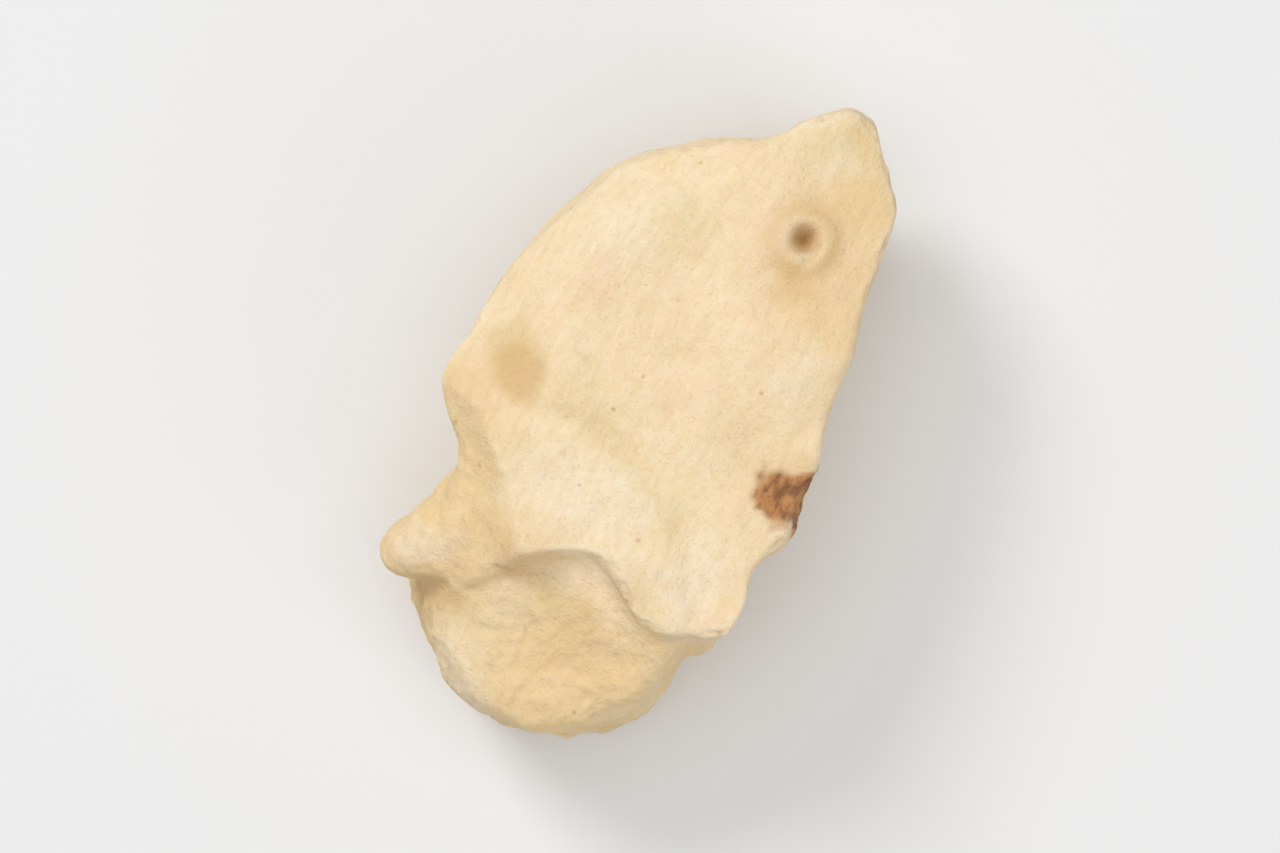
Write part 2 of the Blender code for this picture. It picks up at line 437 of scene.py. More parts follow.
@dataclass(frozen=True)
class ChipForm:
    """The chip's form: a function that is negative inside the root, from cuts, a step, lobes and marks."""

    length: float = 13.5
    width: float = 7.2
    thickness: float = 5.4
    heart: Triple = (0.1, -0.9, 2.3)
    rest_level: float = 0.12
    edge_rounding: float = 0.035
    spur_rounding: float = 0.14
    lobe_rounding: float = 0.20
    lobe_blend: float = 0.16
    knob_blend: float = 0.26
    notch_blend: float = 0.12
    skin_level: float = 4.5
    skin_fade: float = 0.15
    raggedness: float = 0.05
    ragged_cell: float = 0.3
    ragged_seed: int = 91
    rest_rounding: float = 0.012
    skins: tuple[Cut, ...] = Cut.rows(
        (0.0, 1.0, 5.30, 60, 88),
        (1.2, 5.0, 5.02, 62, 71),
        (-2.75, 1.0, 5.22, 172, 60),
        (-1.25, 4.60, 5.20, 138, 62),
        (2.82, 2.5, 5.12, 14, 48),
    )
    cuts: tuple[Cut, ...] = Cut.rows(
        (-3.87, 0.2, 3.6, 173, 6),
        (-3.35, 0.54, 3.4, 182, -20),
        (-3.14, 3.63, 3.8, 160, 8),
        (-1.17, 5.73, 3.8, 132, 10),
        (-1.45, 5.15, 3.4, 134, -24),
        (0.54, 7.16, 3.6, 82, 4),
        (1.58, 6.44, 3.6, 43, 2),
        (2.46, 4.89, 3.4, 17, 0),
        (2.92, 2.09, 3.6, 11, 0),
        (3.11, 2.11, 3.0, 2, -22),
        (3.39, -1.39, 3.4, -5, 0),
        (0.6, 6.0, 1.6, 70, -48),
    )
    breaks: tuple[Cut, ...] = Cut.rows(
        (-3.29, -1.67, 4.0, 216, -6),
        (-2.35, -2.35, 4.92, 226, 42),
    )
    step: Cut = Cut((-0.25, -3.26, 4.6), facing=-60, tilt=18)
    spur: tuple[Cut, ...] = Cut.rows(
        (1.20, -2.98, 4.6, 228, 10),
        (2.54, -3.20, 4.6, -62, 8),
    )
    lower_lobe: Lump = Lump((0.21, -4.03, 1.75), (2.76, 2.54, 6.00))
    lobe_cuts: tuple[Cut, ...] = Cut.rows(
        (0.30, -3.20, 4.78, -110, 74),
        (-1.15, -4.90, 4.3, 195, 45),
        (-1.68, -5.46, 2.0, -139, 6),
        (0.30, -6.23, 2.0, -88, -5),
        (2.32, -5.63, 2.0, -40, 10),
    )
    knob: tuple[Lump, ...] = (
        Lump((-2.33, -3.97, 3.55), (1.00, 0.62, 0.80), turn=34),
        Lump((-1.75, -2.95, 2.75), (0.98, 0.98, 1.60), turn=20),
    )
    notches: tuple[Lump, ...] = (
        Lump((-3.75, -2.50, 3.2), (1.05, 0.75, 2.8)),
        Lump((3.74, -1.37, 3.6), (0.65, 0.70, 2.6)),
        Lump((-1.13, 6.45, 4.0), (0.80, 0.80, 3.0)),
    )
    marks: tuple[Mark, ...] = (
        Mark((-1.6, -2.1), width=1.20, depth=0.20),
        Mark((-0.5, -3.9), width=0.25, depth=0.09, radius=3.35, bearing=48),
        Mark(SCAR, width=0.15, depth=-0.02, radius=0.42),
        Mark(SCAR, width=0.20, depth=0.04, radius=0.75),
        Mark(FAINT_SCAR, width=0.60, depth=0.14),
        Mark((0.24, 0.46), width=0.13, depth=0.08),
        Mark(BARK, width=0.42, depth=0.14),
    )
    pit: Mark = Mark(SCAR, width=0.21, depth=0.34)
    warps: tuple[Swell, ...] = (Swell(3.6, 0.04, 11), Swell(3.6, 0.04, 12), Swell(3.6, 0.05, 13))
    ripples: tuple[Swell, ...] = (Swell(2.1, 0.025, 21), Swell(1.1, 0.012, 22))

    def warped(self, points: Array) -> Array:
        """The points moved a little by slow random waves, so that no cut is quite flat."""
        return points + np.stack([swell.at(points) for swell in self.warps], axis=1)

    def on_upper_face(self, points: Array) -> Array:
        """1 on the upper face, falling to 0 below it."""
        return 1 / (1 + np.exp((self.skin_level - points[:, 2]) / self.skin_fade))

    def dents(self, marks: tuple[Mark, ...], points: Array) -> Array:
        """How deep the marks together are at each point, with ragged rims, and only on the upper face."""
        ragged = points + self.raggedness * cloud(points / self.ragged_cell, self.ragged_seed)[:, None]
        return sum(mark.dent(ragged) for mark in marks) * self.on_upper_face(points)

    def pitted(self, points: Array) -> Array:
        """Surface points with the scar's pit sunk straight down, as rays from the heart miss its far wall."""
        return points - self.dents((self.pit,), points)[:, None] * np.array((0.0, 0.0, 1.0))

    def past_end(self, warped: Array) -> Array:
        """How far each point is past the broken lower end: past the step, except where the spur stands."""
        spur = soft_most([flat.past(warped) for flat in self.spur], self.spur_rounding)
        return soft_least([self.step.past(warped), spur], self.spur_rounding)

    def past_lobe(self, warped: Array) -> Array:
        """How far each point is outside the lower lobe: an egg with a flat top and four flattened sides."""
        sides = [cut.past(warped) for cut in self.lobe_cuts]
        return soft_most([self.lower_lobe.past(warped)] + sides, self.lobe_rounding)

    def past_root(self, points: Array) -> Array:
        """The largest distance past the cuts, joined with the lobes, less the notches, marks and ripples.

        Args:
            points: Places in millimetres.

        Returns:
            How far each point is outside the root, below 0 inside it.
        """
        warped = self.warped(points)
        flats = self.skins + self.cuts + self.breaks
        block = soft_most([flat.past(warped) for flat in flats] + [self.past_end(warped)], self.edge_rounding)
        block = soft_least([block] + [lump.past(warped) for lump in self.knob], self.knob_blend)
        whole = soft_least([block, self.past_lobe(warped)], self.lobe_blend)
        whole = soft_most([whole] + [-notch.past(warped) for notch in self.notches], self.notch_blend)
        return whole + self.dents(self.marks, points) + sum(swell.at(points) for swell in self.ripples)

    def past_chip(self, points: Array) -> Array:
        """The same, with the level cut that the chip rests on."""
        return soft_most([self.past_root(points), self.rest_level - points[:, 2]], self.rest_rounding)

    def surface(self, directions: Array, reach: float = 10.0, halvings: int = 16) -> Array:
        """The point on each ray from the heart where it leaves the chip, found by halving.

        Args:
            directions: Unit vectors, one row each.
            reach: A distance that is outside the chip on every ray.
            halvings: How often the span between inside and outside is halved.

        Returns:
            One point for each direction.
        """
        near = np.zeros(len(directions))
        far = np.full(len(directions), reach)
        heart = np.array(self.heart)
        for _ in range(halvings):
            middle = (near + far) / 2
            inside = self.past_chip(heart + directions * middle[:, None]) < 0
            near = np.where(inside, middle, near)
            far = np.where(inside, far, middle)
        return heart + directions * near[:, None]

    def shares(self, points: Array, reach: float = 0.13) -> dict[Face, Array]:
        """How much of each kind of face a surface point has, summing to 1.

        Args:
            points: Points on the chip's surface.
            reach: Over how many millimetres one kind turns into the next.

        Returns:
            For each kind, a weight that falls off with the distance to the nearest flat or lump of it.
        """
        warped = self.warped(points)
        lumps = [self.past_lobe(warped)] + [lump.past(warped) for lump in self.knob]
        gaps = {
            Face.SKIN: [flat.past(warped) for flat in self.skins],
            Face.CUT: [cut.past(warped) for cut in self.cuts] + [self.rest_level - points[:, 2]],
            Face.BROKEN: [self.past_end(warped)] + [flat.past(warped) for flat in self.breaks],
        }
        off = {kind: np.abs(np.max(np.stack(distances), axis=0)) for kind, distances in gaps.items()}
        off[Face.BROKEN] = np.minimum(off[Face.BROKEN], np.abs(np.min(np.stack(lumps), axis=0)))
        weights = {kind: np.exp(-distance / reach) + 1e-9 for kind, distance in off.items()}
        total = sum(weights.values())
        return {kind: weight / total for kind, weight in weights.items()}


@dataclass
class Lattice:
    """A ball of four-sided cells: six grids on the sides of a box, welded along its edges."""

    cells: tuple[int, int, int] = (100, 190, 95)
    points: Array = field(init=False)
    quads: Array = field(init=False)

    def __post_init__(self) -> None:
        """Welds the six grids by the whole-number place of each corner on the box."""
        places, faces, used = [], [], 0
        for axis in range(3):
            first, second = (axis + 1) % 3, (axis + 2) % 3
            steps = np.arange(self.cells[first] + 1), np.arange(self.cells[second] + 1)
            row, column = np.meshgrid(*steps, indexing="ij")
            index = np.arange(row.size).reshape(row.shape)
            corners = (index[:-1, :-1], index[1:, :-1], index[1:, 1:], index[:-1, 1:])
            for side in (0, self.cells[axis]):
                grid = np.empty((*row.shape, 3), dtype=np.int64)
                grid[..., axis], grid[..., first], grid[..., second] = side, row, column
                turned = corners if side else corners[::-1]
                faces.append(np.stack(turned, axis=-1).reshape(-1, 4) + used)
                places.append(grid.reshape(-1, 3))
                used += row.size
        kept, welded = np.unique(np.concatenate(places), axis=0, return_inverse=True)
        self.points = kept / self.cells * 2 - 1
        self.quads = welded.reshape(-1)[np.concatenate(faces)]

    def directions(self, spread: Triple) -> Array:
        """Even directions: the box coordinates plus their tangents, stretched by spread."""
        return unit((self.points + np.tan(self.points * (math.pi / 4))) * spread)

    def edges(self) -> Array:
        """Each side of a cell, as a pair of corners. A side that two cells share is listed both ways."""
        return np.concatenate([self.quads[:, [side, (side + 1) % 4]] for side in range(4)])

    def spread_mean(self, values: Array, times: int) -> Array:
        """Values smoothed over the surface: each corner takes half its own and half its neighbours' mean.

        Args:
            values: One number or one row for each corner.
            times: How often that is done.

        Returns:
            The smoothed values.
        """
        edges = self.edges()
        count = len(self.points)
        degree = np.bincount(edges[:, 0], minlength=count)
        columns = values.reshape(count, -1).astype(float)
        for _ in range(times):
            sums = [np.bincount(edges[:, 0], column[edges[:, 1]], minlength=count) for column in columns.T]
            columns = (columns + np.stack(sums, axis=1) / degree[:, None]) / 2
        return columns.reshape(values.shape)

    def normals(self, places: Array) -> Array:
        """The cross products of the cells' diagonals, summed at each corner and made unit.

        Args:
            places: The corners, in millimetres.

        Returns:
            One outward normal for each corner.
        """
        corner = places[self.quads]
        cross = np.cross(corner[:, 2] - corner[:, 0], corner[:, 3] - corner[:, 1])
        count = len(self.points)
        sums = [np.bincount(self.quads.ravel(), np.repeat(part, 4), minlength=count) for part in cross.T]
        return unit(np.stack(sums, axis=1))


@dataclass(frozen=True)
class Strands:
    """The root's conducting strands: threads along Y, close together inside and few under the skin."""

    count: int = 190
    thickness: float = 0.055
    wander: float = 0.16
    sheath_level: float = 2.75
    sheath_thickness: float = 0.045
    sheath_wave: float = 0.22
    sheath_droop: float = 0.035
    half_width: float = 3.7
    skin_level: float = 4.9
    inner_share: float = 0.8
    wave_lengths: Pair = (3, 7)
    last_start: float = 6.3
    full_turn: float = 6.28
    seed: int = 41

    def threads(self) -> Array:
        """Draws the strands at random.

        Returns:
            One row for each strand: its X, its Z, its wave's length and two starts.
        """
        random = np.random.default_rng(self.seed)
        x = random.uniform(-self.half_width, self.half_width, self.count)
        inner = random.uniform(0.0, self.sheath_level, self.count)
        outer = random.uniform(self.sheath_level, self.skin_level, self.count)
        z = np.where(random.uniform(size=self.count) < self.inner_share, inner, outer)
        lengths = random.uniform(*self.wave_lengths, self.count)
        return np.stack((x, z, lengths, *random.uniform(0, self.last_start, (2, self.count))), axis=1)

    def mask(self, points: Array) -> Array:
        """A bell curve of the distance to the nearest thread.

        Args:
            points: Places in millimetres.

        Returns:
            1 on a strand's middle, falling to 0 off it.
        """
        nearest = np.full(len(points), FAR)
        for x, z, length, first, second in self.threads():
            sideways = x + self.wander * np.sin(points[:, 1] / length * self.full_turn + first)
            upward = z + self.wander * np.sin(points[:, 1] / length * self.full_turn + second)
            nearest = np.minimum(nearest, np.hypot(points[:, 0] - sideways, points[:, 2] - upward))
        return np.exp(-((nearest / self.thickness) ** 2))

    def sheath(self, points: Array) -> Array:
        """The thin sheath round the inner strands: a wavy sheet at its level, broken in places.

        Args:
            points: Places in millimetres.

        Returns:
            1 on the sheet, falling to 0 off it.
        """
        wave = self.sheath_wave * cloud(points / 1.7, self.seed)
        level = self.sheath_level + wave - self.sheath_droop * points[:, 0] ** 2
        whole = rise(cloud(points / 0.9, self.seed + 1), -0.5, 0.1)
        return np.exp(-(((points[:, 2] - level) / self.sheath_thickness) ** 2)) * whole


@dataclass(frozen=True)
class Relief:
    """What the knife, drying and breaking left on the surface, as heights in millimetres."""

    strands: Strands = Strands()
    flat_height: float = 0.060
    wrinkle_depth: float = 0.012
    fine_wrinkle_depth: float = 0.005
    grain_height: float = 0.014
    ledge_height: float = 0.035
    crest_height: float = 0.06
    flake_height: float = 0.05
    chatter_height: float = 0.006
    chatter_length: float = 0.24
    strand_depth: float = 0.022
    pore_depth: float = 0.028
    nick_depth: float = 0.11

    def flats(self, points: Array) -> Array:
        """Long shallow flats of the peeling knife: the squared distance to the nearest stroke's middle."""
        bent = points + 0.25 * cloud(points / 2.3, 61)[:, None]
        strokes = Pebbles.at(bent / (1.3, 3.4, 2.4), 62)
        return self.flat_height * (strokes.nearest**2 - 0.25)

    def wrinkles(self, points: Array) -> Array:
        """Fine shrink lines along Y: grooves where a cloud that is stretched along Y crosses zero.

        Args:
            points: Places in millimetres.

        Returns:
            A height for each point, below 0 in the grooves.
        """
        bent = points + 0.10 * cloud(points / 0.8, 63)[:, None]
        coarse = 1 - np.abs(cloud(bent / (0.34, 2.4, 0.8), 64))
        fine = 1 - np.abs(cloud(bent / (0.16, 1.1, 0.4), 65))
        return -self.wrinkle_depth * coarse**5 - self.fine_wrinkle_depth * fine**4

    def grain(self, points: Array) -> Array:
        """Starchy grain: three layers of soft noise."""
        return self.grain_height * layered(points, 0.34, 3, 66)

    def crumble(self, points: Array) -> Array:
        """A dry break: sharp crests of three sizes, on ledges that are cut from slow hills.

        Args:
            points: Places in millimetres.

        Returns:
            A height for each point.
        """
        hills = cloud(points / 1.1, 67) * 2.6
        ledges = np.floor(hills) + rise(hills - np.floor(hills), 0.55, 1.0)
        crests = np.zeros(len(points))
        for size in range(3):
            crests += 0.5**size * (0.5 - np.abs(cloud(points / (0.8 * 0.5**size), 68 + size)))
        return self.ledge_height * ledges + self.crest_height * crests

    def flakes(self, points: Array) -> Array:
        """Torn scraps of bark: small plates of uneven height, longer along Y, with cracks between them."""
        plates = Pebbles.at(points / (0.24, 0.60, 0.24) + 0.3 * cloud(points / 0.3, 76)[:, None], 77)
        cracks = rise(0.16 - (plates.second - plates.nearest), 0.0, 0.16)
        return self.flake_height * plates.chance - self.flake_height * cracks

    def pores(self, points: Array) -> Array:
        """1 in small scattered pits: a third of the cells of 0.5 mm have one."""
        spots = Pebbles.at(points / 0.5, 71)
        return np.exp(-((spots.nearest / (0.10 + 0.08 * spots.chance)) ** 2)) * (spots.chance < 0.35)

    def blade_lines(self, points: Array) -> Array:
        """Faint chatter of the blade on the cuts: close waves down the cut, in patches."""
        down = points[:, 2] + 0.25 * points[:, 1] + 0.10 * cloud(points / 0.7, 72)
        waves = np.sin(down / self.chatter_length * 2 * math.pi)
        return self.chatter_height * waves * rise(cloud(points / 1.9, 73), -0.1, 0.5)

    def nicks(self, points: Array) -> Array:
        """1 where a crumb is gone from a sharp edge: the inside of scattered cells."""
        bites = Pebbles.at(points / 0.62 + 0.25 * cloud(points / 0.4, 74)[:, None], 75)
        return rise(0.66 - bites.nearest, 0.0, 0.30) * (bites.chance < 0.6)


@dataclass
class Chip:
    """The whole chip as one fine closed mesh, with the masks that its finish reads.

    A number of passes says how often the surface is smoothed for a measure. Limits are the two ends of a soft
    step, in millimetres.
    """

    form: ChipForm = field(default_factory=ChipForm)
    lattice: Lattice = field(default_factory=Lattice)
    relief: Relief = Relief()
    evenings: int = 2
    coarse_halvings: int = 8
    sliding_passes: int = 30
    relief_passes: int = 4
    edge_passes: int = 10
    edge_limits: Pair = (0.012, 0.045)
    hollow_shade_passes: int = 24
    hollow_shade_limits: Pair = (0.015, 0.11)
    worn_highlight_passes: int = 8
    worn_highlight_limits: Pair = (0.006, 0.030)
    resting_limits: Pair = (0.02, 0.25)
    wall_levels: Pair = (3.2, 4.4)
    wall_roughness: float = 0.9
    bark_border: float = 0.34
    ring_radius: float = 0.60
    ring_width: float = 0.20
    pit_width: float = 0.24
    sheath_strength: float = 0.8
    places: Array = field(init=False)
    masks: dict[str, Array] = field(init=False, default_factory=dict)

    def bend(self, places: Array, times: int) -> Array:
        """How far the smoothed surface lies outside the real one: above 0 in hollows, below 0 on edges.

        Args:
            places: The corners of the lattice, in millimetres.
            times: How often the surface is smoothed, which sets the width that counts.

        Returns:
            One distance in millimetres for each corner.
        """
        smooth = self.lattice.spread_mean(places, times)
        return ((smooth - places) * self.lattice.normals(places)).sum(axis=1)

    def evened(self) -> Array:
        """The surface with cells of one size: smoothing slides the corners, and their rays are cast anew.

        Returns:
            The corners of the lattice, in millimetres.
        """
        form = self.form
        directions = self.lattice.directions((form.width, form.length, form.thickness))
        for _ in range(self.evenings):
            coarse = form.surface(directions, halvings=self.coarse_halvings)
            directions = unit(self.lattice.spread_mean(coarse, self.sliding_passes) - form.heart)
        return form.pitted(form.surface(directions))

    def shape(self) -> None:
        """Works out the surface: the solid's own form, and fine relief along its smoothed normals."""
        form, relief = self.form, self.relief
        base = self.evened()
        normals = self.lattice.normals(self.lattice.spread_mean(base, self.relief_passes))
        share = form.shares(base)
        skin, cut, broken = share[Face.SKIN], share[Face.CUT], share[Face.BROKEN]
        edge = rise(-self.bend(base, self.edge_passes), *self.edge_limits)
        strand = relief.strands.mask(base) * (cut + 0.5 * broken)
        pore = relief.pores(base)
        bark = self.bark(base)
        height = skin * (relief.flats(base) + relief.wrinkles(base) + 0.6 * relief.grain(base))
        height += cut * (1.5 * relief.grain(base) + 1.6 * relief.blade_lines(base))
        wall = 1 - rise(base[:, 2], *self.wall_levels)
        height += broken * (1 + self.wall_roughness * wall) * relief.crumble(base)
        height -= relief.strand_depth * strand + relief.pore_depth * pore * (1 - 0.5 * skin)
        height += bark * relief.flakes(base)
        height -= relief.nick_depth * relief.nicks(base) * edge
        resting = rise(base[:, 2] - form.rest_level, *self.resting_limits)
        self.places = base + normals * (height * resting)[:, None]
        self.paint(base, share, strand, pore)

    def bark(self, base: Array) -> Array:
        """1 on the scrap of bark at the right edge, with an uneven border."""
        off = np.linalg.norm((base - (*BARK, BARK_LEVEL)) / BARK_HALF, axis=1)
        return rise(1 - off + self.bark_border * layered(base, 0.45, 3, 84), 0.0, self.bark_border)

    def paint(self, base: Array, share: dict[Face, Array], strand: Array, pore: Array) -> None:
        """Works out the masks from 0 to 1 that the finish reads.

        Args:
            base: The surface before its fine relief.
            share: The kinds of face.
            strand: The strands where they show.
            pore: The small pits.
        """
        upper = self.form.on_upper_face(base)
        sheath = self.sheath_strength * self.relief.strands.sheath(base) * share[Face.CUT]
        scar = np.hypot(base[:, 0] - SCAR[0], base[:, 1] - SCAR[1])
        ring = np.exp(-(((scar - self.ring_radius) / self.ring_width) ** 2))
        # Painted shade: concave places of the surface, found by smoothing it, are darkened.
        hollow_shade = rise(self.bend(self.places, self.hollow_shade_passes), *self.hollow_shade_limits)
        slow = layered(base, 2.6, 3, 81)
        self.masks = {
            "broken": share[Face.BROKEN],
            "cut": share[Face.CUT],
            "horny": rise(slow + 0.85 * share[Face.BROKEN] + 0.25 * share[Face.CUT], 0.0, 0.9),
            # Pinkish clouds and patches, with painted shade in the crease.
            "blush_and_shade": Tint(0.5, 1.5, 82, BLUSHES_AND_SHADE).mask(base),
            "sage": Tint(0.4, 1.3, 85, SAGES).mask(base),
            # Pale clouds, and patches among which are painted highlights.
            "pale": Tint(0.4, 1.8, 86, PALES_AND_HIGHLIGHTS).mask(base),
            # The scar's ring and yellow-brown patches, with painted shadow along the lobe's foot.
            "ring": np.clip((0.6 * ring + Patch.all(OCHRES_AND_SHADE, base)) * upper, 0, 1),
            "pit": np.exp(-((scar / self.pit_width) ** 2)) * upper,
            "bark": self.bark(base),
            "strand": np.clip(strand + sheath, 0, 1),
            # Painted shade in hollows and pores, and the painted shadows of the crease and the lobe's flank.
            "hollow_shade": np.clip(0.5 * hollow_shade + 0.5 * pore + Patch.all(SHADOW_PATCHES, base), 0, 1),
            # Convex edges lightened: paler where rubbed, and a painted highlight where they catch light.
            "worn_and_highlight": rise(-self.bend(self.places, self.worn_highlight_passes), *self.worn_highlight_limits),
        }

    def mesh(self) -> bpy.types.Mesh:
        """Fits the corners' box to the node's box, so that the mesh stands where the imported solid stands.

        Returns:
            The mesh, with its masks as attributes.
        """
        low, high = (np.array(corner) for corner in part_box(NODE))
        own_low, own_high = self.places.min(axis=0), self.places.max(axis=0)
        own_low[2] = self.form.rest_level
        seat = (own_low + own_high) / 2
        corners = (self.places - seat) * (high - low) / (own_high - own_low) + (low + high) / 2
        mesh = bpy.data.meshes.new("orris_root_surface")
        mesh.vertices.add(len(corners))
        mesh.vertices.foreach_set("co", corners.astype(np.float32).ravel())
        quads = self.lattice.quads
        mesh.loops.add(quads.size)
        mesh.loops.foreach_set("vertex_index", quads.astype(np.int32).ravel())
        mesh.polygons.add(len(quads))
        mesh.polygons.foreach_set("loop_start", np.arange(0, quads.size, 4, dtype=np.int32))
        mesh.update(calc_edges=True)
        mesh.shade_smooth()
        for name, mask in self.masks.items():
            layer = mesh.attributes.new(name, "FLOAT", "POINT")
            layer.data.foreach_set("value", mask.astype(np.float32))
        return mesh

    def build(self, finish: "DriedRoot") -> bpy.types.Object:
        """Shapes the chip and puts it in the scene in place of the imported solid.

        Args:
            finish: The finish that it wears.

        Returns:
            The finished piece.
        """
        self.shape()
        piece = placed("orris_root_surface", self.mesh())
        piece.data.materials.append(finish.material())
        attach(piece, BODY)
        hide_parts(NODE)
        return piece


class Graph:
    """A material's nodes, made and linked in one call each."""

    def __init__(self, material: bpy.types.Material) -> None:
        """Starts from the material's own shader."""
        self.tree = material.node_tree
        self.shader = self.tree.nodes["Principled BSDF"]
        self.where = self.add("ShaderNodeTexCoord").outputs["Object"]

    def add(self, kind: str, **settings: object) -> bpy.types.Node:
        """A new node with its own settings."""
        node = self.tree.nodes.new(kind)
        for name, value in settings.items():
            setattr(node, name, value)
        return node

    def feed(self, socket: Socket, source: object) -> None:
        """Links a socket to another node's output, or sets its value."""
        if isinstance(source, Socket):
            self.tree.links.new(source, socket)
        else:
            socket.default_value = source

    def mask(self, name: str) -> Socket:
        """One of the piece's own masks."""
        return self.add("ShaderNodeAttribute", attribute_name=name).outputs["Fac"]

    def math(self, operation: str, first: object, second: object, clamp: bool = False) -> Socket:
        """Two numbers joined by a sum, product or other operation.

        Args:
            operation: The math node's operation.
            first: A number or a socket.
            second: Another one.
            clamp: Whether the result is held from 0 to 1.

        Returns:
            The result's socket.
        """
        node = self.add("ShaderNodeMath", operation=operation, use_clamp=clamp)
        self.feed(node.inputs[0], first)
        self.feed(node.inputs[1], second)
        return node.outputs[0]

    def span(self, value: object, low: float, high: float, start: float, end: float) -> Socket:
        """A value carried along a smooth S from one span to another, and held at the ends.

        Args:
            value: A number or a socket.
            low: Where the S starts.
            high: Where it ends.
            start: The result below low.
            end: The result above high.

        Returns:
            The result's socket.
        """
        node = self.add("ShaderNodeMapRange", interpolation_type="SMOOTHSTEP")
        names = ("Value", "From Min", "From Max", "To Min", "To Max")
        for name, source in zip(names, (value, low, high, start, end)):
            self.feed(node.inputs[name], source)
        return node.outputs["Result"]

    def noise(self, cell: float, detail: float = 3.0, stretch: Triple = (1, 1, 1)) -> Socket:
        """Soft noise over the chip.

        Args:
            cell: The size of its cells in millimetres.
            detail: How many finer layers it has.
            stretch: How much longer the cells are along X, Y and Z.

        Returns:
            A socket with values from 0 to 1.
        """
        mapping = self.add("ShaderNodeMapping")
        self.feed(mapping.inputs["Vector"], self.where)
        mapping.inputs["Scale"].default_value = [1 / (cell * MM * part) for part in stretch]
        node = self.add("ShaderNodeTexNoise", normalize=True)
        self.feed(node.inputs["Vector"], mapping.outputs["Vector"])
        node.inputs["Scale"].default_value = 1.0
        node.inputs["Detail"].default_value = detail
        return node.outputs["Fac"]

    def spots(self, cell: float) -> Socket:
        """The distance to the nearest of scattered points.

        Args:
            cell: The size of a cell with one point, in millimetres.

        Returns:
            A socket with the distance in cells.
        """
        node = self.add("ShaderNodeTexVoronoi")
        self.feed(node.inputs["Vector"], self.where)
        node.inputs["Scale"].default_value = 1 / (cell * MM)
        return node.outputs["Distance"]

    def blend(self, base: object, over: object, share: object) -> Socket:
        """One colour laid over another.

        Args:
            base: The lower colour, or its socket.
            over: The upper one.
            share: How much of the upper one shows, from 0 to 1.

        Returns:
            The mixed colour's socket.
        """
        node = self.add("ShaderNodeMix", data_type="RGBA", clamp_factor=True)
        colour_inputs = [socket for socket in node.inputs if socket.type == "RGBA"]
        self.feed(node.inputs[0], share)
        self.feed(colour_inputs[0], base)
        self.feed(colour_inputs[1], over)
        return next(socket for socket in node.outputs if socket.type == "RGBA")

    def stain(self, colour: object, *overlays: tuple[str, object, float]) -> Socket:
        """Colours laid over a colour one after another: tints, painted shade and painted highlights.

        Args:
            colour: The lowest colour, or its socket.
            overlays: The mask of each stain, its colour, and how much of it shows where the mask is 1.

        Returns:
            The socket of the colour with all of them laid over it.
        """
        for name, over, share in overlays:
            colour = self.blend(colour, over, self.math("MULTIPLY", self.mask(name), share))
        return colour


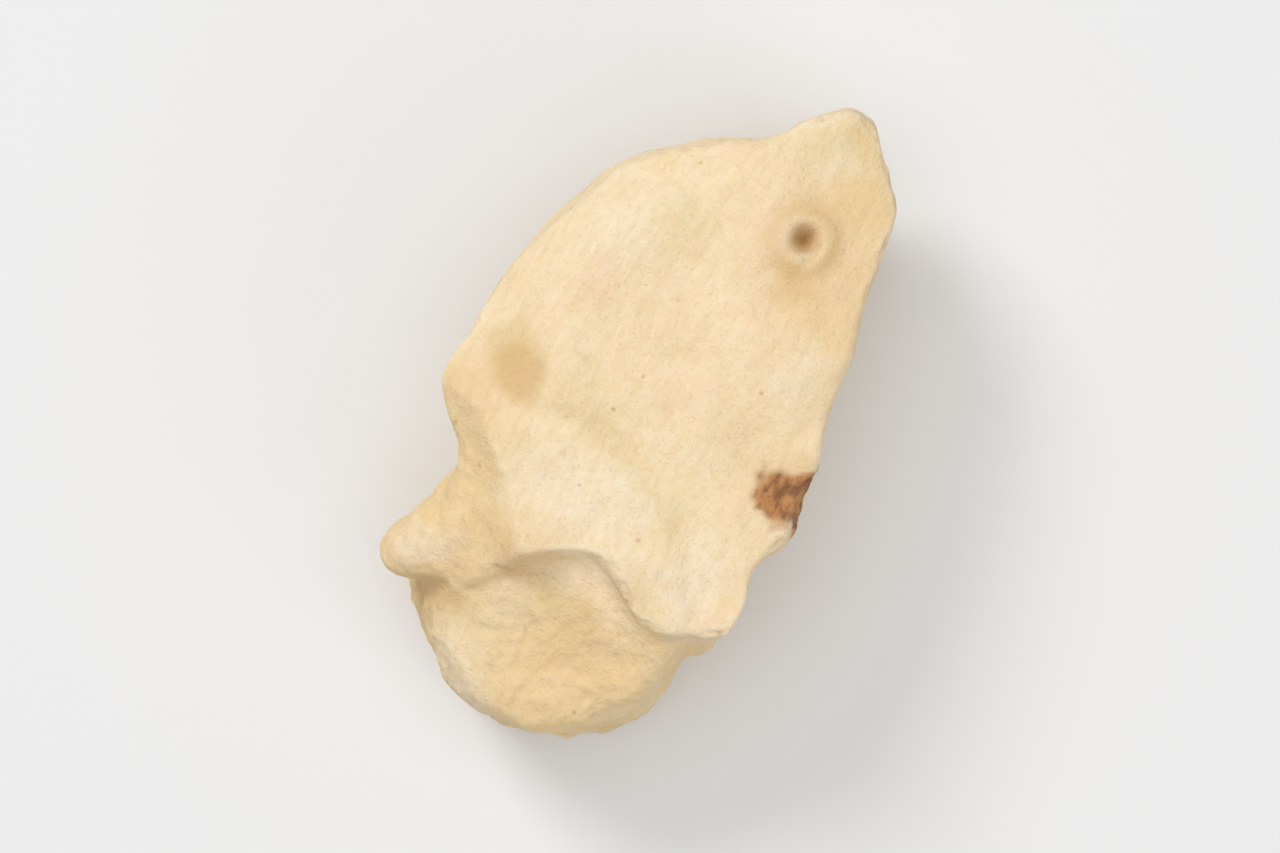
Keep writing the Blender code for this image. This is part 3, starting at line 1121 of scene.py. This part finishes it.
@dataclass(frozen=True)
class DriedRoot:
    """The finish of peeled and dried orris root: chalky cream, horny tan where it broke, matt all over."""

    chalk: Colour = linear(243, 222, 186)
    horn: Colour = linear(232, 202, 148)
    # Pinkish tint, also painted shade in the crease.
    blush_and_shade: Colour = linear(238, 209, 172)
    sage: Colour = linear(222, 202, 148)
    # Yellow-brown of scars and patches, also painted shadow at the lobe's foot.
    ochre_and_shade: Colour = linear(216, 180, 124)
    pit_brown: Colour = linear(160, 112, 54)
    strand_tan: Colour = linear(206, 166, 106)
    # Dark yellow-brown of the painted shade in hollows and pores and of the painted shadows.
    crevice_shade: Colour = linear(202, 166, 114)
    # Pale colour of rubbed edges, also painted highlight on edges and in the pale patches.
    dust_and_highlight: Colour = linear(247, 233, 210)
    bark_light: Colour = linear(190, 128, 72)
    bark_dark: Colour = linear(124, 74, 36)
    fleck: Colour = linear(178, 130, 74)

    def colour(self, graph: Graph) -> Socket:
        """Chalk and horn in clouds and tints, then fibres, flecks, edges paler from rubbing and painted
        highlight, painted shade in hollows, and each mark; some tint and mark patches are painted highlights
        and painted shade.

        Args:
            graph: The material's nodes.

        Returns:
            The colour's socket.
        """
        clouds = graph.math("SUBTRACT", graph.noise(1.0), 0.5)
        horny = graph.math("ADD", graph.mask("horny"), graph.math("MULTIPLY", clouds, 0.9), clamp=True)
        colour = graph.blend(self.chalk, self.horn, graph.math("MULTIPLY", horny, 0.75))
        # Pinkish and sage tints; the pinkish one also lays painted shade in the crease.
        colour = graph.stain(colour, ("blush_and_shade", self.blush_and_shade, 0.75), ("sage", self.sage, 0.7))
        # Paler clouds and patches, several of them painted highlights.
        colour = graph.stain(colour, ("pale", self.dust_and_highlight, 0.6))
        fibres = graph.span(graph.noise(0.13, 3.0, stretch=(1, 5, 1)), 0.42, 0.66, 0.0, 0.13)
        colour = graph.blend(colour, self.strand_tan, fibres)
        colour = graph.stain(colour, ("strand", self.strand_tan, 0.55))
        flecks = graph.span(graph.spots(0.42), 0.05, 0.16, 0.5, 0.0)
        sparse = graph.span(graph.noise(0.9), 0.5, 0.62, 0.0, 1.0)
        colour = graph.blend(colour, self.fleck, graph.math("MULTIPLY", flecks, sparse))
        mottle = graph.span(graph.noise(0.22, 4.0), 0.3, 0.7, 0.0, 0.30)
        colour = graph.blend(colour, self.horn, mottle)
        # Edges paler from rubbing and from painted highlight; painted shade in hollows, pores and the shadow
        # patches.
        colour = graph.stain(colour, ("worn_and_highlight", self.dust_and_highlight, 0.35), ("hollow_shade", self.crevice_shade, 0.7))
        # Yellow-brown of the ring and patches, with painted shadow at the lobe's foot; the pit's brown.
        colour = graph.stain(colour, ("ring", self.ochre_and_shade, 0.8), ("pit", self.pit_brown, 0.9))
        streaks = graph.span(graph.noise(0.14, 4.0, stretch=(1, 3, 1)), 0.35, 0.65, 0.0, 1.0)
        bark = graph.blend(self.bark_dark, self.bark_light, streaks)
        return graph.stain(colour, ("bark", bark, 0.9))

    def height(self, graph: Graph) -> Socket:
        """The finest grain: powder, grit and pin-pricks, crumbs on breaks and fibres on cuts.

        Args:
            graph: The material's nodes.

        Returns:
            The height's socket, in the bump's distances.
        """
        powder = graph.math("MULTIPLY", graph.noise(0.055, 4.0), 0.6)
        grit = graph.math("MULTIPLY", graph.noise(0.16, 3.0), 0.8)
        pricks = graph.span(graph.noise(0.075, 2.0), 0.30, 0.42, -0.30, 0.0)
        crumbs = graph.noise(0.34, 6.0)
        crumbs = graph.math("MULTIPLY", crumbs, graph.math("MULTIPLY", graph.mask("broken"), 3.0))
        fibres = graph.noise(0.10, 3.0, stretch=(1, 6, 1))
        fibres = graph.math("MULTIPLY", fibres, graph.math("MULTIPLY", graph.mask("cut"), 0.9))
        fine = graph.math("ADD", graph.math("ADD", powder, grit), pricks)
        return graph.math("ADD", graph.math("ADD", fine, crumbs), fibres)

    def material(self) -> bpy.types.Material:
        """Builds the material: the colour, a matt roughness, the grain as bump, and a little translucency.

        Returns:
            The material.
        """
        material = bpy.data.materials.new("dried_root")
        material.use_nodes = True
        graph = Graph(material)
        shader = graph.shader
        graph.feed(shader.inputs["Base Color"], self.colour(graph))
        graph.feed(shader.inputs["Roughness"], graph.span(graph.noise(0.3), 0.3, 0.7, 0.72, 0.9))
        bump = graph.add("ShaderNodeBump")
        bump.inputs["Strength"].default_value = 0.75
        bump.inputs["Distance"].default_value = 0.035 * MM
        graph.feed(bump.inputs["Height"], self.height(graph))
        graph.feed(shader.inputs["Normal"], bump.outputs["Normal"])
        shader.inputs["Specular IOR Level"].default_value = 0.3
        shader.inputs["Subsurface Weight"].default_value = 0.18
        shader.inputs["Subsurface Radius"].default_value = (1.0, 0.65, 0.35)
        shader.inputs["Subsurface Scale"].default_value = 0.35 * MM
        return material


@dataclass(frozen=True)
class Lamp:
    """A square soft light: its place (right, up in the photograph, and height), its side and its watts."""

    name: str
    place: Triple
    size: float
    watts: float


@dataclass(frozen=True)
class Studio:
    """A plain pale floor, soft lights, and a camera that looks straight down as the photograph does."""

    photo_turn: float = 30.0
    frame_share: float = 0.76
    frame_size: tuple[int, int] = (1280, 853)
    lens: float = 150.0
    sensor: float = 36.0
    floor_half: float = 0.6
    floor_gap: float = 0.02 * MM
    floor_grey: float = 0.80
    lamps: tuple[Lamp, ...] = (
        Lamp("main_light", place=(-0.16, 0.20, 0.24), size=0.12, watts=0.51),
        Lamp("fill_light", place=(0.18, -0.16, 0.20), size=0.20, watts=0.16),
        Lamp("overhead", place=(0.0, 0.0, 0.42), size=0.40, watts=0.83),
    )
    aim: Triple = (0, 0, 3 * MM)
    sky: float = 0.32

    def to_frame(self, right: float, up: float) -> Pair:
        """A direction in the photograph as one in the chip's frame."""
        turn = math.radians(self.photo_turn)
        return right * math.cos(turn) - up * math.sin(turn), right * math.sin(turn) + up * math.cos(turn)

    def floor(self) -> None:
        """A wide level sheet just below the chip."""
        half = self.floor_half
        mesh = bpy.data.meshes.new("floor")
        corners = [(-half, -half), (half, -half), (half, half), (-half, half)]
        mesh.from_pydata([(x, y, -self.floor_gap) for x, y in corners], [], [(0, 1, 2, 3)])
        sheet = placed("floor", mesh)
        material = bpy.data.materials.new("floor")
        material.use_nodes = True
        shader = material.node_tree.nodes["Principled BSDF"]
        shader.inputs["Base Color"].default_value = (self.floor_grey,) * 3 + (1.0,)
        shader.inputs["Roughness"].default_value = 0.9
        shader.inputs["Specular IOR Level"].default_value = 0.2
        mesh.materials.append(material)

    def hang(self, lamp: Lamp) -> None:
        """Hangs a light so that it faces the chip and isn't seen itself.

        Args:
            lamp: The light.
        """
        light = bpy.data.lights.new(lamp.name, "AREA")
        light.size = lamp.size
        light.energy = lamp.watts
        hung = placed(lamp.name, light)
        place = Vector((*self.to_frame(lamp.place[0], lamp.place[1]), lamp.place[2]))
        hung.location = place
        hung.rotation_euler = (Vector(self.aim) - place).to_track_quat("-Z", "Y").to_euler()
        hung.visible_camera = False

    def lights(self) -> None:
        """The main light from the photograph's upper left, a weak one opposite, one overhead, and a sky."""
        for lamp in self.lamps:
            self.hang(lamp)
        world = bpy.data.worlds.new("sky")
        world.use_nodes = True
        world.node_tree.nodes["Background"].inputs["Color"].default_value = (1.0, 1.0, 1.0, 1.0)
        world.node_tree.nodes["Background"].inputs["Strength"].default_value = self.sky
        bpy.context.scene.world = world
        bpy.context.scene.view_settings.view_transform = "Standard"

    def camera(self, piece: bpy.types.Object) -> None:
        """Looks straight down on the piece, turned as the photograph is, with the piece filling the frame.

        Args:
            piece: What the frame is fitted to.
        """
        count = len(piece.data.vertices)
        points = np.empty(count * 3, dtype=np.float32)
        piece.data.vertices.foreach_get("co", points)
        points = points.reshape(-1, 3)
        turn = math.radians(self.photo_turn)
        right = points @ np.array((math.cos(turn), math.sin(turn), 0.0))
        up = points @ np.array((-math.sin(turn), math.cos(turn), 0.0))
        middle = self.to_frame((right.min() + right.max()) / 2, (up.min() + up.max()) / 2)
        wide, high = self.frame_size
        tall_view = (up.max() - up.min()) / self.frame_share
        distance = tall_view * wide / high * self.lens / self.sensor
        data = bpy.data.cameras.new("camera")
        data.lens = self.lens
        data.sensor_width = self.sensor
        data.clip_start = 1 * MM
        camera = placed("camera", data)
        camera.location = (middle[0], middle[1], points[:, 2].max() + distance)
        camera.rotation_euler = (0.0, 0.0, turn)
        bpy.context.scene.camera = camera


def main() -> None:
    """Builds the chip, then the studio round it."""
    logging.basicConfig(level=logging.INFO, format="%(message)s")
    log = logging.getLogger("orris_root")
    piece = Chip().build(DriedRoot())
    log.info("%s: %d corners, %d cells", piece.name, len(piece.data.vertices), len(piece.data.polygons))
    studio = Studio()
    studio.floor()
    studio.lights()
    studio.camera(piece)
    log.info("studio: floor, lights and camera")


if __name__ == "__main__":
    main()
